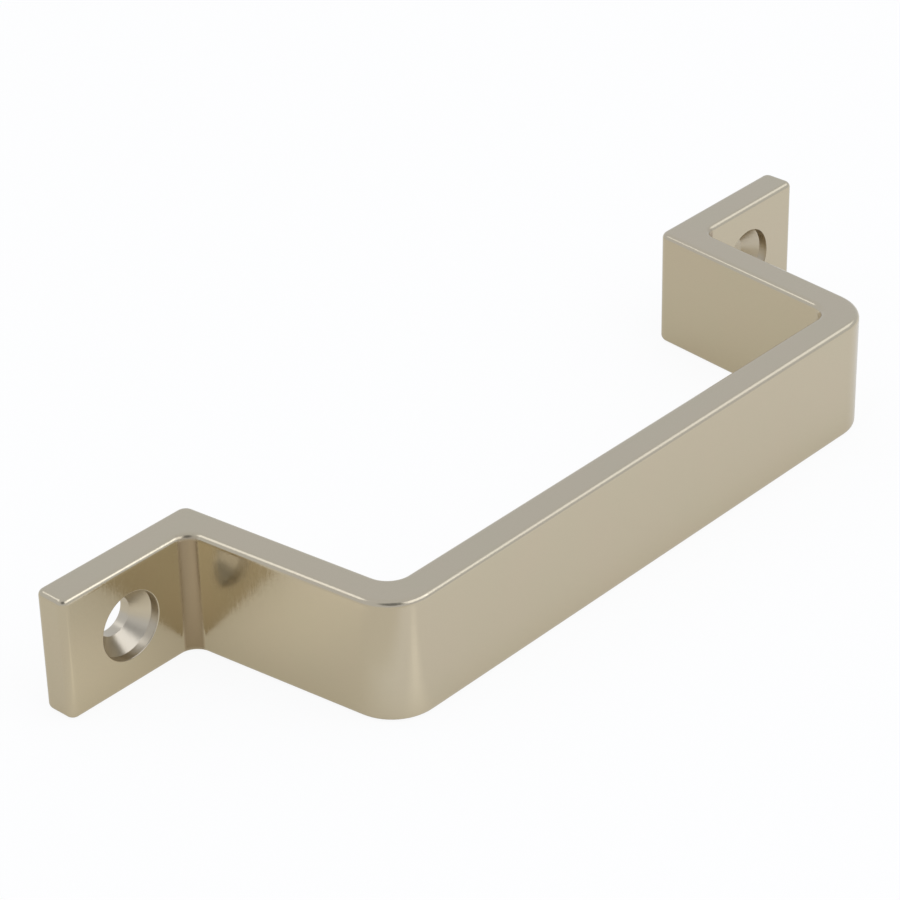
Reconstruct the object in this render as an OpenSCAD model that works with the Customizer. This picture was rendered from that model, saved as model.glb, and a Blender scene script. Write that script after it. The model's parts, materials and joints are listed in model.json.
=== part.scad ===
// Bow handle for a cabinet door or drawer, cast in one piece.
// A flat bar runs from a foot up a leaning leg, along the grip, and down to the other foot.
// X runs along the handle, Y points into the cabinet and Z runs across the bar.
// The origin lies on the mounting face, midway between the two screw holes.

/* [Fixing] */
// Distance between the centres of the two screw holes
hole_spacing = 128; // [64:1:320]
// From the centre of a screw hole to the end of its foot
hole_to_end = 11; // [7:0.5:20]
// From the centre of a screw hole to the front face of its leg, measured on the foot
hole_to_leg = 10.5; // [8:0.5:20]
// Diameter of the screw hole
bore_d = 5.6; // [3:0.1:7]
// Diameter of the recess that takes the screw's head
recess_d = 9.6; // [8:0.1:12]
// Depth of the recess's straight wall, from the front of the foot to the cone below it
recess_depth = 1.4; // [0.5:0.1:2.5]
// Full angle of the cone that the screw's head beds in
seat_angle = 90; // [75:5:120]
// Width of the small chamfer on the rims of a hole
rim_break = 0.15; // [0.05:0.05:0.4]

/* [Bar] */
// Width of the flat bar
bar_w = 18; // [14:0.5:30]
// Thickness of the flat bar
bar_t = 5.1; // [4:0.1:8]
// From the mounting face to the front of the grip
projection = 38.2; // [25:0.1:60]
// Lean of each leg, outwards from the grip to the foot, in degrees
leg_lean = 6; // [0:0.5:15]

/* [Corners] */
// Radius in front, where the grip turns into a leg
grip_front_r = 6.8; // [2:0.1:10]
// Radius behind, inside that corner
grip_back_r = 3.2; // [1:0.1:6]
// Radius of the fillet in front, between a foot and its leg
foot_front_r = 2.3; // [1:0.1:4]
// Radius behind, where the leg meets the mounting face
foot_back_r = 1.6; // [1:0.1:5]
// Radius of the upright edges at the end of a foot
end_r = 1.2; // [1:0.1:1.4]
// Rounding that runs round the handle along both sides of the bar
edge_r = 0.9; // [0.3:0.05:0.95]

/* [Hidden] */
$fn = 64;
// How far a cutting tool reaches past the face it cuts
reach = 0.2;
// Every rounding is this much larger than a tangent one, so that it crosses the flats cleanly
grow = 1.002;
// How far, in radii, an arc and the flat beside it run past each other
overrun = 1.5 * sqrt(2 * (grow - 1));

// Depth of the cone between the recess and the bore
seat_depth = (recess_d - bore_d) / 2 / tan(seat_angle / 2);

// Places along X of the corners in the outline of one half, seen from above
end_x = hole_spacing / 2 + hole_to_end;
root_x = hole_spacing / 2 - hole_to_leg;
lean_x = tan(leg_lean);
leg_t_x = bar_t / cos(leg_lean);
grip_x = root_x - (projection - bar_t) * lean_x;
heel_x = root_x + bar_t * lean_x - leg_t_x;
palm_x = heel_x - (projection - bar_t) * lean_x;

// Corners of the half outline as [x, y, radius], counter-clockwise
half_outline = [
    [grip_x, -projection, grip_front_r],
    [root_x, -bar_t, foot_front_r],
    [end_x, -bar_t, end_r],
    [end_x, 0, end_r],
    [heel_x, 0, foot_back_r],
    [palm_x, bar_t - projection, grip_back_r]
];
last = len(half_outline) - 1;
other_half = [for (i = [last:-1:0]) [-half_outline[i].x, half_outline[i].y, half_outline[i].z]];
outline = concat(half_outline, other_half);
count = len(outline);

// Geometry of one corner: where its arc starts and ends, and the arc's centre
function corner(i) = [outline[(i + count) % count].x, outline[(i + count) % count].y];
function radius(i) = outline[i].z;
function heading(i) = (corner(i + 1) - corner(i)) / norm(corner(i + 1) - corner(i));
function turn(i) = atan2(cross(heading(i - 1), heading(i)), heading(i - 1) * heading(i));
function setback(i) = radius(i) * tan(abs(turn(i)) / 2);
function arc_start(i) = corner(i) - heading(i - 1) * setback(i);
function arc_end(i) = corner(i) + heading(i) * setback(i);
function left_of(v) = [-v.y, v.x];
function arc_centre(i) = arc_start(i) + left_of(heading(i - 1)) * radius(i) * sign(turn(i));
function past(i) = turn(i) > 0 ? overrun * radius(i) : 0;
function angle_of(v) = atan2(v.y, v.x);

// The handle seen from above, with every corner rounded
module plan() {
    difference() {
        union() {
            polygon([for (i = [0:count - 1]) each [arc_start(i), arc_end(i)]]);
            for (i = [0:count - 1]) if (turn(i) > 0) intersection() {
                polygon([arc_start(i), corner(i), arc_end(i)]);
                translate(arc_centre(i)) circle(radius(i) * grow);
            }
        }
        for (i = [0:count - 1]) if (turn(i) < 0) translate(arc_centre(i)) circle(radius(i) * grow);
    }
}

// Section of the tool that rounds an edge: X points out of the bar and Y up
module edge_section() {
    difference() {
        translate([-edge_r, -edge_r]) square(edge_r + reach);
        translate([-edge_r, -edge_r]) circle(edge_r * grow);
    }
}

// The tool along the straight side that follows corner i
module straight_edge(i) {
    next = (i + 1) % count;
    from = arc_end(i) - heading(i) * past(i);
    to = arc_start(next) + heading(i) * past(next);
    translate(to) rotate([90, 0, angle_of(heading(i)) - 90])
        linear_extrude(norm(to - from)) edge_section();
}

// The tool round corner i
module turned_edge(i) {
    outer = turn(i) > 0;
    extra = outer ? 0 : overrun * 180 / PI;
    from = outer ? arc_start(i) : arc_end(i);
    translate(arc_centre(i)) rotate(angle_of(from - arc_centre(i)) - extra)
        rotate_extrude(angle = abs(turn(i)) + 2 * extra)
            translate([radius(i) * grow, 0]) mirror([outer ? 0 : 1, 0]) edge_section();
}

module side_edges() {
    for (i = [0:count - 1]) {
        straight_edge(i);
        turned_edge(i);
    }
}

// A screw hole, turned from its half section: the bore, the cone, the recess, and a chamfer at each end
module screw_hole() {
    rotate([90, 0, 0]) rotate_extrude() polygon([
        [0, -reach],
        [bore_d / 2 + rim_break + reach, -reach],
        [bore_d / 2, rim_break],
        [bore_d / 2, bar_t - recess_depth - seat_depth],
        [recess_d / 2, bar_t - recess_depth],
        [recess_d / 2, bar_t - rim_break],
        [recess_d / 2 + rim_break + reach, bar_t + reach],
        [0, bar_t + reach]
    ]);
}

module handle() {
    color("#b5aa92") difference() {
        translate([0, 0, -bar_w / 2]) linear_extrude(bar_w) plan();
        translate([0, 0, bar_w / 2]) side_edges();
        mirror([0, 0, 1]) translate([0, 0, bar_w / 2]) side_edges();
        for (side = [-1, 1]) translate([side * hole_spacing / 2, 0, 0]) screw_hole();
    }
}

handle();
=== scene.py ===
import json
import math
import bpy
import numpy as np
from mathutils import Matrix, Vector


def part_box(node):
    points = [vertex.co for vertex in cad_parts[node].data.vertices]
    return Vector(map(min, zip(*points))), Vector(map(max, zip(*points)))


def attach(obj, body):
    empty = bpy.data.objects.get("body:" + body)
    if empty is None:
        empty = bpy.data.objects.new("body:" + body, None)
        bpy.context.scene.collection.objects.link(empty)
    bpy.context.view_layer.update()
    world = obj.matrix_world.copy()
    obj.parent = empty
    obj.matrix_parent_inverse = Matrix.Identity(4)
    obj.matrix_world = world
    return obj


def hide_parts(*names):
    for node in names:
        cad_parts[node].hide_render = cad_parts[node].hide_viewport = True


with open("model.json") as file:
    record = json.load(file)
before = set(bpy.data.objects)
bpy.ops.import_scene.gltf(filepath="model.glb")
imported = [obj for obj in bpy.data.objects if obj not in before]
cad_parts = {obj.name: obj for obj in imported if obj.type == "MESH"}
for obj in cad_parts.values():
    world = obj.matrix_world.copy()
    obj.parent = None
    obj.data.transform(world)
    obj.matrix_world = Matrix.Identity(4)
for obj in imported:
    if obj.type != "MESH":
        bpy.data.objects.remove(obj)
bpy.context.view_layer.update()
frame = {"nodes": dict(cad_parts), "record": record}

mm = 0.001
perMm = 1 / mm           # scale of a pattern with one cell to the millimetre
print("frame loaded:", ", ".join(frame["nodes"]))


# what the frame says of the handle, in millimetres
boxLow, boxHigh = [np.array(corner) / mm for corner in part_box("handle")]
screwHoles = next(mount for mount in frame["record"]["mounts"] if mount["name"] == "screw_holes")
halfLength = boxHigh[0]
projection = -boxLow[1]
halfWidth = boxHigh[2]
holeX = screwHoles["dims"]["spacing_x_mm"] / 2
boreRadius = screwHoles["dims"]["hole_r_mm"]

# the form of the cast bar, in millimetres and degrees
castBar = {
    "thickness": 5.1,
    "lean": 6.0,             # of each leg, outwards from the grip to the foot
    "holeToLeg": 10.5,       # from a screw hole to the front of its leg, on the foot
    "gripFrontRadius": 6.8,
    "gripBackRadius": 3.2,
    "footFrontRadius": 2.3,
    "footBackRadius": 1.6,
    "endRadius": 1.2,
    "edgeRadius": 0.9,       # runs round the handle along both sides of the bar
    "recessRadius": 4.8,
    "recessDepth": 1.4,      # of the straight wall round a screw's head
    "seatAngle": 90.0,       # of the cone under the head, right across
    "rimRadius": 0.15,       # breaks the rims of a hole
    "arcSteps": 14,          # segments in a corner of the outline
    "edgeSteps": 10,         # segments in the rounding along the bar
    "rimSteps": 4,
    "ringSteps": 24,         # segments along each side of the rectangle round a hole
    "patchSteps": 6,         # rings between that rectangle and the rim
    "flatSteps": 6,          # segments in a plain flat
    "guard": 0.06,           # a flat has a row of points this close to each of its ends
    "patchHalf": 6.0,        # half the length of the rectangle round a hole
    "tolerance": 1e-6,       # within which a point lies on a face
}


# Corners of the plan outline as rows of x, y and radius, counter-clockwise. The front of a leg
# is the line x = rootX + (y + thickness) tan(lean), and its back lies thickness / cos(lean) inside.
def outlineCorners(form):
    thickness = form["thickness"]
    lean = math.radians(form["lean"])
    rootX = holeX - form["holeToLeg"]
    gripX = rootX - (projection - thickness) * math.tan(lean)
    heelX = rootX + thickness * math.tan(lean) - thickness / math.cos(lean)
    palmX = heelX - (projection - thickness) * math.tan(lean)
    rightHalf = np.array([
        [gripX, -projection, form["gripFrontRadius"]],
        [rootX, -thickness, form["footFrontRadius"]],
        [halfLength, -thickness, form["endRadius"]],
        [halfLength, 0, form["endRadius"]],
        [heelX, 0, form["footBackRadius"]],
        [palmX, thickness - projection, form["gripBackRadius"]],
    ])
    leftHalf = rightHalf[::-1] * [-1, 1, 1]
    return np.vstack([rightHalf, leftHalf])


# Points and outward normals of the outline, counter-clockwise from the middle of the left end.
# An arc's centre lies one radius from both sides of its corner, and its points turn evenly from
# one side to the other. A foot's flats hold the columns of the rectangles round its hole.
def roundedOutline(form):
    corners = outlineCorners(form)
    place, radius = corners[:, :2], corners[:, 2]
    ahead = np.roll(place, -1, axis=0) - place
    ahead /= np.linalg.norm(ahead, axis=1)[:, None]
    behind = np.roll(ahead, 1, axis=0)
    cross = behind[:, 0] * ahead[:, 1] - behind[:, 1] * ahead[:, 0]
    turning = np.arctan2(cross, (behind * ahead).sum(axis=1))
    setback = radius * np.tan(np.abs(turning) / 2)
    signedRadius = radius * np.sign(turning)
    inward = np.stack([-behind[:, 1], behind[:, 0]], axis=1)
    centre = place - behind * setback[:, None] + inward * signedRadius[:, None]
    firstAngle = np.arctan2(-inward[:, 1], -inward[:, 0])
    angle = firstAngle[:, None] + turning[:, None] * np.linspace(0, 1, form["arcSteps"] + 1)
    arcNormal = np.stack([np.cos(angle), np.sin(angle)], axis=2)
    arcPoint = centre[:, None] + arcNormal * signedRadius[:, None, None]

    points, normals = [], []
    patchColumns = np.linspace(-form["patchHalf"], form["patchHalf"], form["ringSteps"] + 1)
    for number in range(len(corners)):
        start = arcPoint[number, -1]
        end = arcPoint[(number + 1) % len(corners), 0]
        length = np.linalg.norm(end - start)
        inner = np.linspace(0, length, form["flatSteps"] + 1)[1:-1]
        if min(abs(start[0]), abs(end[0])) < holeX < max(abs(start[0]), abs(end[0])):
            inner = abs(math.copysign(holeX, start[0]) - start[0]) + patchColumns
        along = np.concatenate([[form["guard"]], inner, [length - form["guard"]]])
        flat = start + (end - start) * (along / length)[:, None]
        points += [arcPoint[number], flat]
        normals += [arcNormal[number], np.repeat(arcNormal[number, -1:], len(flat), axis=0)]
    points, normals = np.vstack(points), np.vstack(normals)
    first = np.argmin(np.hypot(points[:, 0] + halfLength, points[:, 1] + form["thickness"] / 2))
    return np.roll(points, -first, axis=0), np.roll(normals, -first, axis=0)


# Inset, height and tilt of each row across the bar: a quarter round, the flat and a quarter round.
# At tilt a on a round of radius r, the inset is r (1 - cos a) and the height the flat's end + r sin a.
def rowsAcross(form):
    r = form["edgeRadius"]
    flatEnd = halfWidth - r
    tilt = np.linspace(0, math.pi / 2, form["edgeSteps"] + 1)
    upper = np.stack([r * (1 - np.cos(tilt)), flatEnd + r * np.sin(tilt), tilt], axis=1)
    flat = np.zeros((form["ringSteps"] - 1, 3))
    flat[:, 1] = np.linspace(-flatEnd, flatEnd, form["ringSteps"] + 1)[1:-1]
    return np.vstack([upper[::-1] * [1, -1, -1], flat, upper])


# Profiles of a screw hole from front to back, as rows of radius, depth and the normal's two
# parts. Each rim is a quarter round that leaves the face level and enters the hole upright.
def holeProfiles(form):
    rim, recess = form["rimRadius"], form["recessRadius"]
    frontY = -form["thickness"]
    wallEnd = frontY + form["recessDepth"]
    halfAngle = math.radians(form["seatAngle"] / 2)
    seatEnd = wallEnd + (recess - boreRadius) / math.tan(halfAngle)
    turn = np.linspace(0, math.pi / 2, form["rimSteps"] + 1)
    sine, cosine = np.sin(turn), np.cos(turn)
    frontRim = np.stack([recess + rim * (1 - sine), frontY + rim * (1 - cosine), -sine, -cosine], axis=1)
    backRim = np.stack([boreRadius + rim * (1 - sine), -rim * (1 - cosine), -sine, cosine], axis=1)[::-1]
    wall = np.vstack([frontRim, [recess, wallEnd, -1, 0]])
    seatNormal = [-math.cos(halfAngle), -math.sin(halfAngle)]
    seat = np.array([[recess, wallEnd, *seatNormal], [boreRadius, seatEnd, *seatNormal]])
    bore = np.vstack([[boreRadius, seatEnd, -1, 0], backRim])
    return wall, seat, bore


# Quads of a grid of points that run row by row. A closed grid joins its last column to its first.
def gridFaces(rows, columns, closed=False):
    row = np.arange(rows - 1)[:, None] * columns
    column = np.arange(columns if closed else columns - 1)
    after = (column + 1) % columns
    quads = [row + column, row + after, row + columns + after, row + columns + column]
    return np.stack(quads, axis=2).reshape(-1, 4)


# Adds a grid of points with its normals and faces to the grids gathered for one mesh.
def addGrid(grids, points, normals, faces):
    already = sum(len(grid[0]) for grid in grids)
    normals = np.broadcast_to(normals, points.shape)
    grids.append((points.reshape(-1, 3), normals.reshape(-1, 3), faces + already))


# Rows of a profile turned about an upright line through axisX: at angle a a point of the profile
# lies at x = axisX + out cos a, y = depth and z = out sin a.
def turnedProfile(out, depth, angle, axisX):
    x = out[:, None] * np.cos(angle) + axisX
    z = out[:, None] * np.sin(angle)
    y = np.broadcast_to(depth[:, None], x.shape)
    return np.stack([x, y, z], axis=2)


# Grids of the whole handle. Its sides are the outline at every row's height, moved in by the
# row's inset. Strips across the bar close them above and below, round each hole rings run from
# its rim to a rectangle of the sides' own points, and the hole's profiles turn about its axis.
def handleGrids(form):
    grids = []
    outline, outward = roundedOutline(form)
    inset, height, tilt = rowsAcross(form).T
    rows, columns = len(height), len(outline)
    sides = np.empty((rows, columns, 3))
    sides[..., :2] = outline - outward * inset[:, None, None]
    sides[..., 2] = height[:, None]
    sideNormals = np.empty_like(sides)
    sideNormals[..., :2] = outward * np.cos(tilt)[:, None, None]
    sideNormals[..., 2] = np.sin(tilt)[:, None]
    quads = gridFaces(rows, columns, closed=True).reshape(rows - 1, columns, 4)
    plain = np.ones((rows - 1, columns), bool)

    low = form["edgeSteps"]
    high = low + form["ringSteps"]
    steps = 4 * form["ringSteps"]
    share = np.linspace(0, 1, form["patchSteps"] + 1)[:, None, None]
    for axisX in (-holeX, holeX):
        # A ring starts at its rectangle's first corner and goes the same way round: low row, last
        # column, high row, first column. The way is +1 in front and -1 behind.
        for faceY, way, radius in ((-form["thickness"], 1, form["recessRadius"]), (0, -1, boreRadius)):
            near = np.abs(outline - [axisX, faceY]) < np.add([form["patchHalf"], 0], form["tolerance"])
            inside = np.flatnonzero(near.all(axis=1))
            first, last = inside[0], inside[-1]
            plain[low:high, first:last] = False
            rectangle = np.concatenate([
                sides[low, first:last],
                sides[low:high, last],
                sides[high, last:first:-1],
                sides[high:low:-1, first],
            ])
            angle = way * (np.arange(steps) / steps * 2 * math.pi - math.pi / 4) - math.pi / 2
            rim = np.stack([np.cos(angle), np.zeros(steps), np.sin(angle)], axis=1)
            rim = rim * (radius + form["rimRadius"]) + [axisX, faceY, 0]
            patch = rim * (1 - share) + rectangle * share
            addGrid(grids, patch, [0, -way, 0], gridFaces(len(share), steps, closed=True)[:, ::-1])
        # the profiles turn by the angles of the ring behind, whose rim they meet
        for profile in holeProfiles(form):
            radius, depth, normalOut, normalDeep = profile.T
            turned = turnedProfile(radius, depth, angle, axisX)
            normal = turnedProfile(normalOut, normalDeep, angle, 0)
            addGrid(grids, turned, normal, gridFaces(len(profile), steps, closed=True)[:, ::-1])
    addGrid(grids, sides, sideNormals, quads[plain])

    front = np.arange(columns // 2)
    strips = np.stack([front, front + 1, columns - front - 1, (columns - front) % columns], axis=1)
    addGrid(grids, sides[-1], [0, 0, 1], strips)
    addGrid(grids, sides[0], [0, 0, -1], strips[:, ::-1])
    return grids


# One mesh from the grids. Points that round to the same place are welded, a face with two corners
# in one place loses one of them, and every corner keeps its grid's normal, so that each flat,
# round and cone is shaded as the true surface.
def weldedMesh(grids, name):
    points, normals, faces = [np.vstack(part) for part in zip(*grids)]
    tenthMicronsPerMm = 1e4
    places = np.round(points * tenthMicronsPerMm).astype(np.int64)
    _, source, welded = np.unique(places, axis=0, return_index=True, return_inverse=True)
    corners = welded.ravel()[faces]
    distinct = corners != np.roll(corners, 1, axis=1)
    size = distinct.sum(axis=1)
    mesh = bpy.data.meshes.new(name)
    mesh.vertices.add(len(source))
    mesh.vertices.foreach_set("co", (points[source] * mm).astype(np.float32).ravel())
    mesh.loops.add(int(size.sum()))
    mesh.loops.foreach_set("vertex_index", corners[distinct].astype(np.int32))
    mesh.polygons.add(len(size))
    mesh.polygons.foreach_set("loop_start", (np.cumsum(size) - size).astype(np.int32))
    mesh.polygons.foreach_set("use_smooth", np.ones(len(size), bool))
    mesh.update(calc_edges=True)
    mesh.normals_split_custom_set(normals[faces][distinct])
    return mesh


# sRGB hex to linear red, green, blue and alpha
def linear(hexColour):
    values = [int(hexColour[i:i + 2], 16) / 255 for i in (1, 3, 5)]
    return [v / 12.92 if v <= 0.04045 else ((v + 0.055) / 1.055) ** 2.4 for v in values] + [1.0]


# a mix node's inputs (its factor, two values and two colours) and its outputs
mixFactor, valueA, valueB, colourA, colourB = 0, 2, 3, 6, 7
mixedValue, mixedColour = 0, 2


# adds a node: settings are properties or inputs, and links are the sockets that feed its inputs
def addNode(tree, kind, settings, links=None):
    node = tree.nodes.new(kind)
    for key, value in settings.items():
        if isinstance(key, str) and hasattr(node, key):
            setattr(node, key, value)
        else:
            node.inputs[key].default_value = value
    for key, socket in (links or {}).items():
        tree.links.new(socket, node.inputs[key])
    return node


# Satin nickel plated zinc casting: it mirrors its surroundings a little blurred, in a warm
# grey-beige. Brushing across the bar frays each reflection into upright strokes, polishing by
# hand leaves the flats slightly wavy, and the casting's grain roughens them a little and breaks
# up the lines of light on the edges. No belt reaches the fillets in front or the screw holes:
# both stay matt as cast. The fillets are painted darker, a painted shade of the corners, and the
# holes painted paler, a painted highlight in them.
satinNickel = {
    "colours": ("#ccbea5", "#c9bfa4"),
    "blotchWidth": 9.0,      # mm, of the faint patches of the second colour
    "roughness": 0.14,
    "roughnessSpread": 0.03,
    "castRoughness": 0.3,
    # painted shade: the colour of the fillets, darker for the shade in the corners
    "filletShadeColour": "#a8967a",
    # mm from the corner line: as cast up to the first, brushed past the second
    "filletReach": (1.45, 1.95),
    # painted highlight: the colour of the holes, paler for the light reflected in them
    "holeLightColour": "#cfc4ae",
    "holeReach": (4.86, 4.94),   # mm from a hole's axis, likewise
    "backNormal": 0.9,       # a normal with a larger Y is on the back of a foot
    "strokeWidth": 0.4,      # mm; real strokes are under 0.1, too fine to show
    "strokeLength": 9.0,     # mm, across the bar
    "strokeHeight": 0.006,   # mm, like every height here
    "grainWidth": 0.5,       # mm, of the casting's skin under the plating; real grain is finer
    "grainHeight": 0.005,
    "grainReach": (0.4, 0.6),   # of the noise: smoothest up to the first, roughest past the second
    "grainRoughness": 0.04,  # what the roughest grain adds
    "waveWidth": 6.0,        # mm, of the polished waves
    "waveLength": 12.0,
    "waveHeight": 0.012,
}


def makeSatinNickel(finish, form):
    material = bpy.data.materials.new("satinNickelPlatedZinc")
    material.use_nodes = True
    tree = material.node_tree
    shader = tree.nodes["Principled BSDF"]
    shader.inputs["Metallic"].default_value = 1.0
    coordinates = addNode(tree, "ShaderNodeTexCoord", {}).outputs
    place = coordinates["Object"]

    # noise with patches of the given width and, across the bar, of the given length
    def noise(width, length, detail):
        scale = (perMm / width, perMm / width, perMm / length)
        stretched = addNode(tree, "ShaderNodeVectorMath", {"operation": "MULTIPLY", 1: scale}, {0: place})
        return addNode(tree, "ShaderNodeTexNoise", {"Scale": 1.0, "Detail": detail}, {
            "Vector": stretched.outputs[0],
        }).outputs["Fac"]

    # share of the cast finish near a line along an axis, in all the mirrored parts of the handle
    folded = addNode(tree, "ShaderNodeVectorMath", {"operation": "ABSOLUTE"}, {0: place})

    def nearLine(through, along, reach):
        others = [1 - part for part in along]
        across = addNode(tree, "ShaderNodeVectorMath", {"operation": "MULTIPLY", 1: others}, {
            0: folded.outputs[0],
        })
        distance = addNode(tree, "ShaderNodeVectorMath", {
            "operation": "DISTANCE", 1: [part * mm for part in through],
        }, {0: across.outputs[0]})
        return addNode(tree, "ShaderNodeMapRange", {
            "interpolation_type": "SMOOTHSTEP", "From Min": reach[1] * mm, "From Max": reach[0] * mm,
        }, {"Value": distance.outputs["Value"]}).outputs["Result"]

    # a fillet is upright, so the level faces above and below it are left out
    normal = addNode(tree, "ShaderNodeSeparateXYZ", {}, {0: coordinates["Normal"]})
    level = addNode(tree, "ShaderNodeMath", {"operation": "ABSOLUTE"}, {0: normal.outputs["Z"]})
    upright = addNode(tree, "ShaderNodeMath", {"operation": "SUBTRACT", 0: 1.0}, {1: level.outputs[0]})
    rootLine = (holeX - form["holeToLeg"], form["thickness"], 0)
    nearCorner = nearLine(rootLine, (0, 0, 1), finish["filletReach"])
    inFillet = addNode(tree, "ShaderNodeMath", {"operation": "MULTIPLY"}, {
        0: nearCorner, 1: upright.outputs[0],
    }).outputs[0]
    # the back of a foot, round its bore, is left out too
    front = addNode(tree, "ShaderNodeMath", {"operation": "LESS_THAN", 1: finish["backNormal"]}, {
        0: normal.outputs["Y"],
    })
    inHole = addNode(tree, "ShaderNodeMath", {"operation": "MULTIPLY"}, {
        0: nearLine((holeX, 0, 0), (0, 1, 0), finish["holeReach"]), 1: front.outputs[0],
    }).outputs[0]
    asCast = addNode(tree, "ShaderNodeMath", {"operation": "MAXIMUM"}, {0: inFillet, 1: inHole}).outputs[0]

    first, second = [linear(hexColour) for hexColour in finish["colours"]]
    colour = addNode(tree, "ShaderNodeMix", {"data_type": "RGBA", colourA: first, colourB: second}, {
        mixFactor: noise(finish["blotchWidth"], finish["blotchWidth"], detail=3.0),
    })
    # painted shade: the fillets darker; painted highlight: the holes paler
    filletShaded = addNode(tree, "ShaderNodeMix", {
        "data_type": "RGBA", colourB: linear(finish["filletShadeColour"]),
    }, {mixFactor: inFillet, colourA: colour.outputs[mixedColour]})
    holeLit = addNode(tree, "ShaderNodeMix", {
        "data_type": "RGBA", colourB: linear(finish["holeLightColour"]),
    }, {mixFactor: inHole, colourA: filletShaded.outputs[mixedColour]})
    tree.links.new(holeLit.outputs[mixedColour], shader.inputs["Base Color"])

    strokes = noise(finish["strokeWidth"], finish["strokeLength"], detail=2.0)
    brushed = addNode(tree, "ShaderNodeMapRange", {
        "To Min": finish["roughness"] - finish["roughnessSpread"],
        "To Max": finish["roughness"] + finish["roughnessSpread"],
    }, {"Value": strokes})
    grain = noise(finish["grainWidth"], finish["grainWidth"], detail=1.0)
    matted = addNode(tree, "ShaderNodeMapRange", {
        "From Min": finish["grainReach"][0], "From Max": finish["grainReach"][1],
        "To Max": finish["grainRoughness"],
    }, {"Value": grain})
    uneven = addNode(tree, "ShaderNodeMath", {"operation": "ADD"}, {
        0: brushed.outputs["Result"], 1: matted.outputs["Result"],
    })
    roughness = addNode(tree, "ShaderNodeMix", {valueB: finish["castRoughness"]}, {
        mixFactor: asCast, valueA: uneven.outputs[0],
    })
    tree.links.new(roughness.outputs[mixedValue], shader.inputs["Roughness"])

    waves = noise(finish["waveWidth"], finish["waveLength"], detail=2.0)
    waved = addNode(tree, "ShaderNodeBump", {"Distance": finish["waveHeight"] * mm}, {"Height": waves})
    stroked = addNode(tree, "ShaderNodeBump", {"Distance": finish["strokeHeight"] * mm}, {
        "Height": strokes, "Normal": waved.outputs["Normal"],
    })
    grained = addNode(tree, "ShaderNodeBump", {"Distance": finish["grainHeight"] * mm}, {
        "Height": grain, "Normal": stroked.outputs["Normal"],
    })
    tree.links.new(grained.outputs["Normal"], shader.inputs["Normal"])
    return material


handle = bpy.data.objects.new("handleCasting", weldedMesh(handleGrids(castBar), "handleCasting"))
bpy.context.scene.collection.objects.link(handle)
handle.data.materials.append(makeSatinNickel(satinNickel, castBar))
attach(handle, "root")
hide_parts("handle")
print("handle:", len(handle.data.polygons), "faces")


# The white table, level with the handle's lower side. The camera sees most of it as plain white
# and the rest lit and shaded, so the handle keeps its shadow. The metal mirrors it less plain: a
# painted shade, darker and warm, to the left of the handle and behind the grip, and painted streaks
# of light. The painted shade stands in for the shade that the handle casts on the table there, and
# the painted streaks for the light that the handle itself throws on the table.
table = {
    "reach": 3000,           # mm from the middle to each side
    "colour": "#f2f2f2",
    "plainShare": {"camera": 0.92, "metal": 0.6},
    "mirroredPlain": "#efeff0",
    "mirroredPaintedShade": "#dad6ca",
    # mm: the painted shade is full past the second value along X or along Y, and none up to the first
    "paintedShadeFrom": {"X": (-54, -66), "Y": (-46, -26)},
    "paintedShadeWithin": (64, 48),  # mm along X, likewise, so that it ends on the right
    # painted streaks of light, in mm: in front of the grip's left corner, in front of the left foot's
    # end, and a wide one in the corner between that foot and its leg
    "paintedStreaks": (
        {"middle": (-46, -52), "reach": (5, 24), "adds": 0.3},
        {"middle": (-76, -20), "reach": (4, 18), "adds": 0.3},
        {"middle": (-70, -13), "reach": (22, 16), "adds": 0.22},
    ),
}


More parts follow.
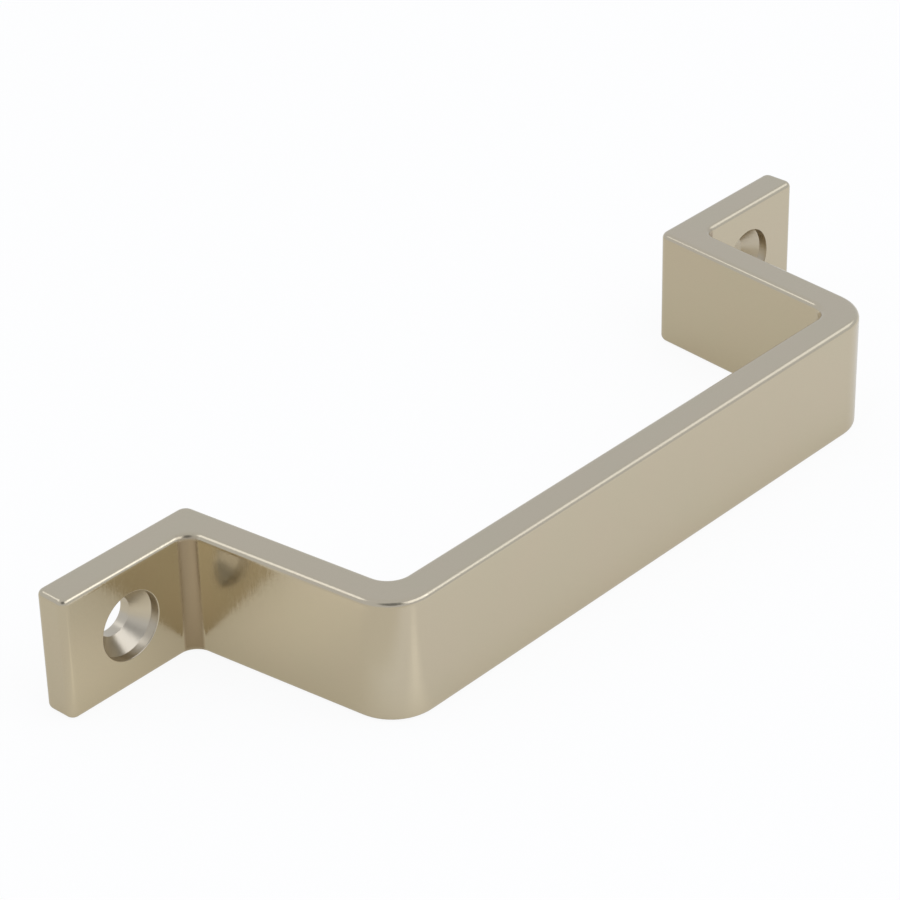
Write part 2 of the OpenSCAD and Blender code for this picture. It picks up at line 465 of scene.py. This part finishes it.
def makeTable(form):
    reach = form["reach"] * mm
    level = -halfWidth * mm
    corners = [(x * reach, y * reach, level) for x, y in ((-1, -1), (1, -1), (1, 1), (-1, 1))]
    mesh = bpy.data.meshes.new("whiteTable")
    mesh.from_pydata(corners, [], [range(4)])
    floor = bpy.data.objects.new("whiteTable", mesh)
    bpy.context.scene.collection.objects.link(floor)
    material = bpy.data.materials.new("whitePaperTable")
    material.use_nodes = True
    tree = material.node_tree
    tree.nodes.remove(tree.nodes["Principled BSDF"])
    # share of plain white that each kind of ray sees
    path = addNode(tree, "ShaderNodeLightPath", {})
    mirrored = addNode(tree, "ShaderNodeMath", {"operation": "MAXIMUM"}, {
        0: path.outputs["Is Glossy Ray"], 1: path.outputs["Is Transmission Ray"],
    })
    camera = addNode(tree, "ShaderNodeMath", {"operation": "MULTIPLY", 1: form["plainShare"]["camera"]}, {
        0: path.outputs["Is Camera Ray"],
    })
    share = addNode(tree, "ShaderNodeMath", {"operation": "MULTIPLY_ADD", 1: form["plainShare"]["metal"]}, {
        0: mirrored.outputs[0], 2: camera.outputs[0],
    })
    # the colour that the metal mirrors: the warm painted shade on the left, and white for every other ray
    place = addNode(tree, "ShaderNodeTexCoord", {}).outputs["Object"]
    apart = addNode(tree, "ShaderNodeSeparateXYZ", {}, {0: place})

    def past(axis, ends):
        return addNode(tree, "ShaderNodeMapRange", {
            "interpolation_type": "SMOOTHSTEP", "From Min": ends[0] * mm, "From Max": ends[1] * mm,
        }, {"Value": apart.outputs[axis]}).outputs["Result"]

    either = addNode(tree, "ShaderNodeMath", {"operation": "MAXIMUM"}, {
        0: past("X", form["paintedShadeFrom"]["X"]), 1: past("Y", form["paintedShadeFrom"]["Y"]),
    })
    shadeShare = addNode(tree, "ShaderNodeMath", {"operation": "MULTIPLY"}, {
        0: either.outputs[0], 1: past("X", form["paintedShadeWithin"]),
    })
    shadeTinted = addNode(tree, "ShaderNodeMix", {
        "data_type": "RGBA", colourA: linear(form["mirroredPlain"]), colourB: linear(form["mirroredPaintedShade"]),
    }, {mixFactor: shadeShare.outputs[0]})
    tint = addNode(tree, "ShaderNodeMix", {"data_type": "RGBA", colourA: linear("#ffffff")}, {
        mixFactor: mirrored.outputs[0], colourB: shadeTinted.outputs[mixedColour],
    })

    # each painted streak of light fades out towards the rim of an ellipse, and only the metal sees it
    paintedLight = mirrored.outputs[0]
    for paintedStreak in form["paintedStreaks"]:
        scale = [perMm / across for across in paintedStreak["reach"]] + [0]
        shift = [-centre / across for centre, across in zip(paintedStreak["middle"], paintedStreak["reach"])] + [0]
        moved = addNode(tree, "ShaderNodeVectorMath", {
            "operation": "MULTIPLY_ADD", 1: scale, 2: shift,
        }, {0: place})
        distance = addNode(tree, "ShaderNodeVectorMath", {"operation": "LENGTH"}, {0: moved.outputs[0]})
        faded = addNode(tree, "ShaderNodeMapRange", {
            "interpolation_type": "SMOOTHSTEP", "From Min": 1.0, "From Max": 0.0, "To Max": paintedStreak["adds"],
        }, {"Value": distance.outputs["Value"]})
        paintedLight = addNode(tree, "ShaderNodeMath", {"operation": "MULTIPLY_ADD"}, {
            0: faded.outputs["Result"], 1: mirrored.outputs[0], 2: paintedLight,
        }).outputs[0]
    strength = addNode(tree, "ShaderNodeMath", {"operation": "MAXIMUM", 0: 1.0}, {1: paintedLight})
    shaded = addNode(tree, "ShaderNodeBsdfDiffuse", {"Color": linear(form["colour"])})
    plain = addNode(tree, "ShaderNodeEmission", {}, {
        "Color": tint.outputs[mixedColour], "Strength": strength.outputs[0],
    })
    mixed = addNode(tree, "ShaderNodeMixShader", {}, {
        0: share.outputs[0], 1: shaded.outputs[0], 2: plain.outputs[0],
    })
    tree.links.new(mixed.outputs[0], tree.nodes["Material Output"].inputs["Surface"])
    mesh.materials.append(material)


makeTable(table)
print("table ready")


# the studio round the table: a cool white tent, darker where it opens in front
studio = {
    "tent": "#ebf1ff",
    "strength": 0.83,
    "darkTowards": (-0.5, -0.52, 0.69),
    # cosines of the angle from there: darker from the first on, and darkest from the second
    "darkReach": (0.88, 0.98),
    "darkest": 0.35,         # of the strength
}


def makeStudio(form):
    world = bpy.data.worlds.new("studio")
    world.use_nodes = True
    bpy.context.scene.world = world
    tree = world.node_tree
    towards = addNode(tree, "ShaderNodeTexCoord", {}).outputs["Generated"]
    aside = addNode(tree, "ShaderNodeVectorMath", {
        "operation": "DOT_PRODUCT", 1: Vector(form["darkTowards"]).normalized(),
    }, {0: towards})
    dimmed = addNode(tree, "ShaderNodeMapRange", {
        "interpolation_type": "SMOOTHSTEP",
        "From Min": form["darkReach"][0], "From Max": form["darkReach"][1],
        "To Min": form["strength"], "To Max": form["strength"] * form["darkest"],
    }, {"Value": aside.outputs["Value"]})
    tree.nodes["Background"].inputs["Color"].default_value = linear(form["tent"])
    tree.links.new(dimmed.outputs["Result"], tree.nodes["Background"].inputs["Strength"])


makeStudio(studio)


# Soft boxes: which way each hangs from the handle, its width and height in mm, and the radiance
# it adds to the tent's. The overhead one lights the table and isn't mirrored in the metal.
softBoxDistance = 900        # mm
softBoxes = {
    "rightFront": {
        "towards": (0.67, -0.42, 0.62), "size": (700, 280),
        "radiance": 0.65, "colour": "#ecf1ff", "mirrored": True,
    },
    "front": {
        "towards": (0.17, -0.74, 0.65), "size": (760, 460),
        "radiance": 0.9, "colour": "#ecf1ff", "mirrored": True,
    },
    "leftBack": {
        "towards": (-0.4, 0.48, 0.78), "size": (480, 280),
        "radiance": 0.8, "colour": "#ecf1ff", "mirrored": True,
    },
    "overhead": {
        "towards": (0.0, -0.2, 0.98), "size": (800, 800),
        "radiance": 1.0, "colour": "#ffffff", "mirrored": False,
    },
}


# A flat lamp's power is its radiance times pi times its area.
def hangSoftBoxes(boxes):
    for name, box in boxes.items():
        light = bpy.data.lights.new(name, "AREA")
        light.shape = "RECTANGLE"
        light.size, light.size_y = [side * mm for side in box["size"]]
        light.energy = box["radiance"] * math.pi * light.size * light.size_y
        light.color = linear(box["colour"])[:3]
        lamp = bpy.data.objects.new(name, light)
        lamp.visible_glossy = box["mirrored"]
        towards = Vector(box["towards"]).normalized()
        lamp.location = towards * softBoxDistance * mm
        lamp.rotation_mode = "QUATERNION"
        lamp.rotation_quaternion = towards.to_track_quat("Z", "Y")
        bpy.context.scene.collection.objects.link(lamp)


hangSoftBoxes(softBoxes)
print("studio ready")


# where the camera stands, in degrees, and its picture, in pixels
viewpoint = {
    "azimuth": -47.60,       # to the left, from straight in front of the grip
    "elevation": 31.16,
    "roll": -1.34,
    "imageSize": 900,
    "focalPixels": 3348,
    "originPixel": (438.9, 415.0),   # where the handle's origin falls, from the top left
    "pixelsPerMm": 7.167,    # at the origin
    "sensorMm": 36,
}


# The camera looks along the line from a point on a sphere to its centre, and is then moved aside
# and up, so that the origin falls on its pixel. Its distance is the focal length over the scale.
def placeCamera(stand):
    azimuth, elevation, roll = [math.radians(stand[key]) for key in ("azimuth", "elevation", "roll")]
    ground = Vector((math.sin(azimuth), -math.cos(azimuth), 0))
    back = ground * math.cos(elevation) + Vector((0, 0, math.sin(elevation)))
    level = Vector((0, 0, 1)).cross(back).normalized()
    upright = back.cross(level)
    right = level * math.cos(roll) + upright * math.sin(roll)
    up = upright * math.cos(roll) - level * math.sin(roll)
    distance = stand["focalPixels"] / stand["pixelsPerMm"] * mm
    middle = stand["imageSize"] / 2
    aside, below = [(pixel - middle) / stand["pixelsPerMm"] * mm for pixel in stand["originPixel"]]
    data = bpy.data.cameras.new("camera")
    data.sensor_width = stand["sensorMm"]
    data.lens = stand["focalPixels"] / stand["imageSize"] * stand["sensorMm"]
    camera = bpy.data.objects.new("camera", data)
    camera.matrix_world = Matrix((right, up, back)).transposed().to_4x4()
    camera.location = back * distance - right * aside + up * below
    bpy.context.scene.collection.objects.link(camera)
    bpy.context.scene.camera = camera


placeCamera(viewpoint)
bpy.context.scene.view_settings.view_transform = "Standard"
print("camera ready")
